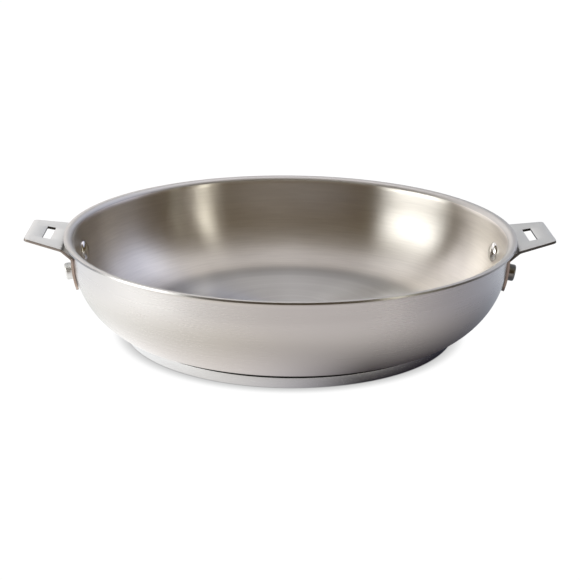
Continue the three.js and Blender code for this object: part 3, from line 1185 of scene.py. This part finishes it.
    def _dress_edges(self, lug: bpy.types.Object) -> None:
        """Paints shade on the slot's walls with a near-black finish, and gives the leg's upright edges a
        lighter copy of the edge finish.

        Args:
            lug: The lug, with its thickness.
        """
        upright = Vector((-math.sin(self.slope), 0, math.cos(self.slope)))
        half_x = self.slot_width / 2 + self.slot_margin[0]
        half_y = self.slot_length / 2 + self.slot_margin[1]

        def is_wall(middle: Vector, normal: Vector) -> bool:
            """True for a face of the slot's walls, which take the painted shade."""
            near = abs(middle.x - self.slot_x) < half_x and abs(middle.y) < half_y
            return near and abs(normal.dot(upright)) < STEEP

        def is_leg_edge(middle: Vector, normal: Vector) -> bool:
            """True for a face of the leg's upright edges."""
            return middle.z < self.leg_top and abs(normal.y) > STEEP

        Bench.dress(lug, LUG_SLOT_SHADE, is_wall)
        Bench.dress(lug, LUG_LEG_EDGE, is_leg_edge)

    def _round_corners(self, lug: bpy.types.Object) -> None:
        """Rounds the corners of the tip and of the foot.

        Args:
            lug: The lug, before it has its thickness.
        """
        for height, radius in ((self.tip[1], self.corner), (self.leg_foot, self.foot_corner)):
            Bench.drop(lug, "VERT")
            row = [v for v in lug.data.vertices if abs(v.co.z / MM - height) < BARELY]
            for end in (min(row, key=lambda v: v.co.y), max(row, key=lambda v: v.co.y)):
                end.select = True
            bpy.ops.object.mode_set(mode="EDIT")
            bpy.ops.mesh.bevel(offset=radius * MM, segments=self.corner_steps, affect="VERTICES")
            bpy.ops.object.mode_set(mode="OBJECT")

    def dress(self, lug: bpy.types.Object) -> None:
        """Gives the sheet its satin finish, and the finish that its sheared edges take, in that order."""
        Bench.dress(lug, LUG_SATIN)
        Bench.dress(lug, LUG_EDGE)


@dataclass
class Rivet:
    """A solid rivet with a dome inside the bowl and a flat-topped head outside.

    Attributes:
        lug: The lug that it holds.
        shank: Diameter of the shank.
        dome: Diameter of the dome.
        dome_height: Height of the dome.
        head: Diameter of the outer head.
        head_height: Height of the outer head.
        face: Diameter of the head's flat face.
        edge: Rounding of the head's edge.
        settle: Depth that the outer head is pressed on to the leg.
        dome_steps: Steps from the dome's top to its edge.
        edge_steps: Steps round the head's edge.
        steps: Steps round its axis.
        sharp: Angle from which an edge is shaded sharp, in degrees.
    """

    lug: Lug
    shank: float = 6.0
    dome: float = 12.2
    dome_height: float = 2.6
    head: float = 9.6
    head_height: float = 3.7
    face: float = 7.2
    edge: float = 1.2
    settle: float = 0.12
    dome_steps: int = 10
    edge_steps: int = 6
    steps: int = 48
    sharp: float = 40.0

    def build(self) -> bpy.types.Object:
        """Models a rivet about Z, with the wall's outer face at 0.

        Returns:
            The rivet.
        """
        inner_seat = -self.lug.bowl.sheet
        leg_face = self.lug.clearance + self.lug.sheet
        top = leg_face + self.head_height
        dome = []
        for i in range(self.dome_steps + 1):
            angle = QUARTER_TURN * i / self.dome_steps
            dome.append((self.dome / 2 * math.sin(angle), inner_seat - self.dome_height * math.cos(angle)))
        edge_centre = (self.face / 2, top - self.edge)
        profile = [
            *dome,
            (self.shank / 2, inner_seat),
            (self.shank / 2, leg_face - self.settle),
            (self.head / 2, leg_face - self.settle),
            *arc(edge_centre, self.edge, QUARTER_TURN, math.pi, self.edge_steps),
            (0.0, top),
        ]
        rivet = Bench.turned("rivet", profile, self.steps)
        Bench.smooth(rivet, self.sharp)
        return rivet

    def seat(self, side: Side, end: int) -> Matrix:
        """Where a rivet goes.

        Args:
            side: The lug's side of the pan.
            end: -1 or 1 for the two rivets of a lug.

        Returns:
            The move from the rivet's own axis to its place.
        """
        radius = self.lug.bowl.radius_at(self.lug.rivet_z)
        turn = math.asin(end * self.lug.rivet_spacing / 2 / radius)
        out = Matrix.Translation((radius * MM, 0, self.lug.rivet_z * MM))
        tilt = Matrix.Rotation(QUARTER_TURN + self.lug.lean, 4, "Y")
        return Matrix.Rotation(side.value + turn, 4, "Z") @ out @ tilt

    def dress(self, rivet: bpy.types.Object) -> None:
        """Polishes the dome and leaves the outer head as it was pressed.

        Args:
            rivet: The rivet, about Z.
        """

        def is_head(middle: Vector, _normal: Vector) -> bool:
            """True for a face of the outer head."""
            return middle.z > 0

        Bench.dress(rivet, RIVET_POLISH)
        Bench.dress(rivet, RIVET_SATIN, is_head)


@dataclass(frozen=True)
class SoftSides:
    """What a light has between its two soft upright sides.

    Attributes:
        name: What it is.
        azimuth: Direction of its middle, in degrees from the camera's side towards +X.
        half_width: Half its width, in degrees.
        feather: Softness of its sides, in degrees.
    """

    name: str
    azimuth: float
    half_width: float
    feather: float

    def between(self, shader: Shader, x: Value, y: Value, level: Value) -> Value:
        """How far a direction is between the sides.

        Args:
            shader: The shader to add to.
            x: Place or direction along X.
            y: Place or direction along Y.
            level: Length of the two together.

        Returns:
            1 between the sides, 0 outside them.
        """
        middle = math.radians(self.azimuth)
        facing = (x * math.sin(middle) - y * math.cos(middle)) / level
        outer = math.cos(math.radians(min(180.0, self.half_width + self.feather)))
        inner = math.cos(math.radians(max(0.0, self.half_width - self.feather)))
        return shader.step(facing, outer, inner)


@dataclass(frozen=True)
class Card(SoftSides):
    """A soft light card in the room, as the steel sees it.

    Attributes:
        low: Elevation of its lower edge, in degrees.
        high: Elevation of its upper edge, or 90 if it has none.
        fade: Softness of these edges.
        light: Brightness in red, green and blue.
    """

    low: float
    high: float
    fade: float
    light: Colour

    def share(self, shader: Shader, x: Value, y: Value, level: Value, height: Value) -> Value:
        """How much of the card is seen in a direction.

        Args:
            shader: The shader to add to.
            x: The direction along X.
            y: The direction along Y.
            level: Length of the two together.
            height: The direction along Z.

        Returns:
            1 on the card, 0 off it.
        """
        seen = self.between(shader, x, y, level)
        low, high, fade = (math.radians(angle) for angle in (self.low, self.high, self.fade))
        seen = seen * shader.step(height, math.sin(low - fade), math.sin(low + fade))
        if self.high < 90:
            seen = seen * (1 - shader.step(height, math.sin(high - fade), math.sin(high + fade)))
        return seen


@dataclass(frozen=True)
class TablePatch(SoftSides):
    """A soft patch of light or shade on the table, as the steel mirrors it.

    Attributes:
        near: Distance of its near edge from the pan's axis.
        near_fade: Softness of that edge.
        far: Distance of its far edge, or 0 if it has none.
        far_fade: Softness of that edge.
        light: Brightness that it adds, or takes away.
    """

    near: float
    near_fade: float
    far: float
    far_fade: float
    light: Colour

    def share(self, shader: Shader, x: Value, y: Value, level: Value) -> Value:
        """How much of the patch there is at a point of the table.

        Args:
            shader: The shader to add to.
            x: The point along X.
            y: The point along Y.
            level: Its distance from the axis.

        Returns:
            1 on the patch, 0 off it.
        """
        seen = self.between(shader, x, y, level)
        near, soft = self.near * MM, self.near_fade * MM
        seen = seen * shader.step(level, near - soft, near + soft)
        if self.far:
            far, soft = self.far * MM, self.far_fade * MM
            seen = seen * (1 - shader.step(level, far - soft, far + soft))
        return seen


@dataclass
class Studio:
    """Floor, light and camera.

    Attributes:
        cards: The light cards.
        fill: Brightness that the steel sees between the cards.
        patches: The patches of the table.
        table: Brightness of the table between the patches.
        table_depth: Depth of the mirrored table under the floor that the camera sees.
        backdrop: Brightness that the camera sees behind the floor.
        floor_size: Side of the floor.
        floor_light: Brightness of the open floor.
        contact_depth: Power that deepens the contact shadow.
        contact_reach: Reach of the contact shadow.
        contact_samples: Samples of the contact shadow.
        elevation: Camera's height above the horizon, in degrees.
        distance: Camera's distance.
        roll: Camera's roll, in degrees.
        turn: Pan's turn to the camera, in degrees.
        target: Point that the camera looks at.
        lens: Focal length.
        sensor: Width of the sensor.
    """

    cards: tuple[Card, ...] = ()
    fill: Colour = (0.094, 0.061, 0.019)
    patches: tuple[TablePatch, ...] = ()
    table: Colour = (0.235, 0.226, 0.265)
    table_depth: float = 0.2
    backdrop: float = 1.0
    floor_size: float = 9000.0
    floor_light: float = 1.03
    contact_depth: float = 0.6
    contact_reach: float = 9.2
    contact_samples: int = 16
    elevation: float = 18.678
    distance: float = 793.9
    roll: float = 0.615
    turn: float = 1.364
    target: tuple[float, float, float] = (0.08, 0.0, 21.93)
    lens: float = 83.85
    sensor: float = 36.0

    def _lay(self, name: str, material: str, depth: float) -> tuple[bpy.types.Object, Shader]:
        """Lays a plane under the pan, with an empty material.

        Args:
            name: The plane's name.
            material: Its material's name.
            depth: Its depth under the pan.

        Returns:
            The plane and its material's shader.
        """
        Bench.clear()
        bpy.ops.mesh.primitive_plane_add(size=self.floor_size * MM)
        plane = Bench.named(name)
        Bench.place(plane, Matrix.Translation((0, 0, -depth * MM)))
        made = bpy.data.materials.new(material)
        made.cycles.emission_sampling = "NONE"
        plane.data.materials.append(made)
        plane.visible_diffuse = False
        return plane, Shader(made)

    def build_floor(self) -> bpy.types.Object:
        """Lays the floor that only the camera sees.

        Returns:
            The floor.
        """
        floor, shader = self._lay("floor", "pale_floor", 0.0)
        open_sky = shader.value(shader.node(
            "ShaderNodeAmbientOcclusion", {"samples": self.contact_samples},
            {"Distance": self.contact_reach * MM},
        ), "AO")
        light = self.floor_light * open_sky ** self.contact_depth
        glow = shader.node("ShaderNodeEmission", sockets={"Color": light})
        shader.node("ShaderNodeOutputMaterial", sockets={"Surface": glow.outputs[0]})
        floor.visible_glossy = False
        return floor

    def build_table(self) -> bpy.types.Object:
        """Lays the table that only the steel mirrors.

        Returns:
            The table.
        """
        table, shader = self._lay("mirrored_table", "lit_table", self.table_depth)
        x, y, _, level = shader.axes("Object")
        seen = self.table
        for patch in self.patches:
            seen = shader.added(seen, patch.light, patch.share(shader, x, y, level))
        lit = shader.node("ShaderNodeVectorMath", {"operation": "MAXIMUM"}, {0: seen, 1: (0.0, 0.0, 0.0)})
        glow = shader.node("ShaderNodeEmission", sockets={"Color": lit.outputs[0]})
        shader.node("ShaderNodeOutputMaterial", sockets={"Surface": glow.outputs[0]})
        table.visible_camera = False
        table.visible_shadow = False
        return table

    def light(self) -> None:
        """Lights the pan with soft cards all round, and shows the camera a plain pale backdrop."""
        world = bpy.data.worlds.new("studio")
        bpy.context.scene.world = world
        shader = Shader(world)
        x, y, height, level = shader.axes("Generated")
        seen = self.fill
        for card in self.cards:
            seen = shader.added(seen, card.light, card.share(shader, x, y, level, height))
        studio = shader.node("ShaderNodeBackground", sockets={"Color": seen})
        plain = shader.node(
            "ShaderNodeBackground", sockets={"Color": (1.0, 1.0, 1.0, 1.0), "Strength": self.backdrop},
        )
        path = shader.node("ShaderNodeLightPath")
        both = shader.node("ShaderNodeMixShader", sockets={
            0: path.outputs["Is Camera Ray"], 1: studio.outputs[0], 2: plain.outputs[0],
        })
        shader.node("ShaderNodeOutputWorld", sockets={"Surface": both.outputs[0]})
        world.cycles.sampling_method = "NONE"

    def build_camera(self) -> bpy.types.Object:
        """Sets up the camera at the photograph's angle.

        Returns:
            The camera.
        """
        raised, rolled = math.radians(self.elevation), math.radians(self.roll)
        back = Vector((0.0, -math.cos(raised), math.sin(raised)))
        right = Vector((1.0, 0.0, 0.0))
        up = back.cross(right)
        across = right * math.cos(rolled) + up * math.sin(rolled)
        upright = up * math.cos(rolled) - right * math.sin(rolled)
        place = (Vector(self.target) + back * self.distance) * MM
        facing = Matrix((across, upright, back)).transposed().to_4x4()
        turned = Matrix.Rotation(-math.radians(self.turn), 4, "Z")
        camera_data = bpy.data.cameras.new("camera")
        camera_data.lens = self.lens
        camera_data.sensor_width = self.sensor
        camera = bpy.data.objects.new("camera", camera_data)
        bpy.context.scene.collection.objects.link(camera)
        camera.matrix_world = turned @ Matrix.Translation(place) @ facing
        bpy.context.scene.camera = camera
        return camera


STUDIO = Studio(
    cards=(
        Card("window on the left", -78.0, 13.7, 13.7, -9.0, 30.0, 4.0, (4.8, 4.9, 4.8)),
        Card("wall behind, left", -146.0, 31.5, 6.5, 7.0, 38.0, 11.0, (1.5, 1.49, 1.52)),
        Card("ceiling behind", 176.0, 58.0, 26.0, 47.0, 90.0, 12.0, (1.54, 1.55, 1.64)),
        Card("wall behind, right", 135.0, 32.5, 6.0, 21.0, 49.0, 6.0, (0.82, 0.9, 1.15)),
        Card("low wall behind", 173.0, 11.0, 5.0, 5.0, 24.0, 6.0, (0.6, 0.67, 0.74)),
        Card("strip beside the camera", 51.0, 3.4, 1.5, -6.0, 40.0, 3.0, (2.3, 2.3, 2.1)),
        Card("glow round the strip", 49.0, 4.3, 2.1, -6.0, 23.0, 5.0, (0.52, 0.44, 0.28)),
        Card("thin strip on the right", 68.0, 1.7, 1.2, -6.0, 23.0, 5.0, (0.72, 0.74, 0.62)),
        Card("ceiling in front", 3.0, 77.0, 6.0, 45.0, 90.0, 15.0, (0.17, 0.17, 0.17)),
    ),
    patches=(
        TablePatch("by the window", -156.0, 120.0, 44.0, 80.0, 10.0, 0.0, 0.0, (0.51, 0.56, 0.6)),
        TablePatch("in front", -26.0, 75.0, 65.0, 122.0, 49.0, 465.0, 195.0, (0.72, 0.68, 0.62)),
        TablePatch("close, front left", -37.0, 32.0, 31.5, 80.0, 10.0, 124.0, 29.0, (0.76, 0.73, 0.76)),
        TablePatch("shade on the right", 48.0, 57.5, 20.5, 80.0, 10.0, 188.0, 187.0, (-0.15, -0.13, -0.05)),
        TablePatch("shade round the pan", 0.0, 168.0, 10.0, 80.0, 10.0, 147.0, 107.0, (-0.2, -0.21, -0.32)),
    ),
)


def main() -> None:
    """Builds the pan piece by piece, then the studio round it."""
    logging.basicConfig(level=logging.INFO, format="%(message)s")
    bpy.context.scene.view_settings.view_transform = "Standard"

    bowl = Bowl()
    bowl_piece = bowl.build()
    bowl.dress(bowl_piece)
    Bench.fit(bowl_piece, "pan_body", "bowl_steel")

    cap = BaseCap()
    cap_piece = cap.build()
    cap.dress(cap_piece)
    Bench.fit(cap_piece, "base_cap", "base_steel")

    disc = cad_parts["diffuser_disc"]
    disc.data.materials.clear()
    Bench.dress(disc, CORE_ALUMINIUM)
    log.info("diffuser_disc: the solid itself, dressed")

    lug = Lug(bowl)
    rivet = Rivet(lug)
    lug_master = lug.build()
    rivet_master = rivet.build()
    rivet.dress(rivet_master)
    for side in Side:
        name = side.name.lower()
        lug_piece = Bench.copied(lug_master, f"sheet_lug_{name}")
        Bench.place(lug_piece, Matrix.Rotation(side.value, 4, "Z"))
        # Painted shade: the right lug, away from the window, takes a darker copy of its sheared-edge finish.
        if side is Side.RIGHT:
            Bench.refinish(lug_piece, LUG_EDGE, LUG_EDGE_SHADED)
        Bench.fit(lug_piece, f"lug_{name}", "lug_steel")
        for end in (-1, 1):
            faces_front = end * math.cos(side.value) < 0
            where = f"{name}_{'front' if faces_front else 'back'}"
            rivet_piece = Bench.copied(rivet_master, f"solid_rivet_{where}")
            Bench.place(rivet_piece, rivet.seat(side, end))
            # Painted shade: the right lug's rivets take the darker outer-head finish.
            if side is Side.RIGHT:
                Bench.refinish(rivet_piece, RIVET_SATIN, RIVET_HEAD_SHADED)
            Bench.fit(rivet_piece, f"rivet_{where}", "rivet_steel")
    for master in (lug_master, rivet_master):
        bpy.data.objects.remove(master)

    STUDIO.build_floor()
    STUDIO.build_table()
    STUDIO.light()
    STUDIO.build_camera()


if __name__ == "__main__":
    main()
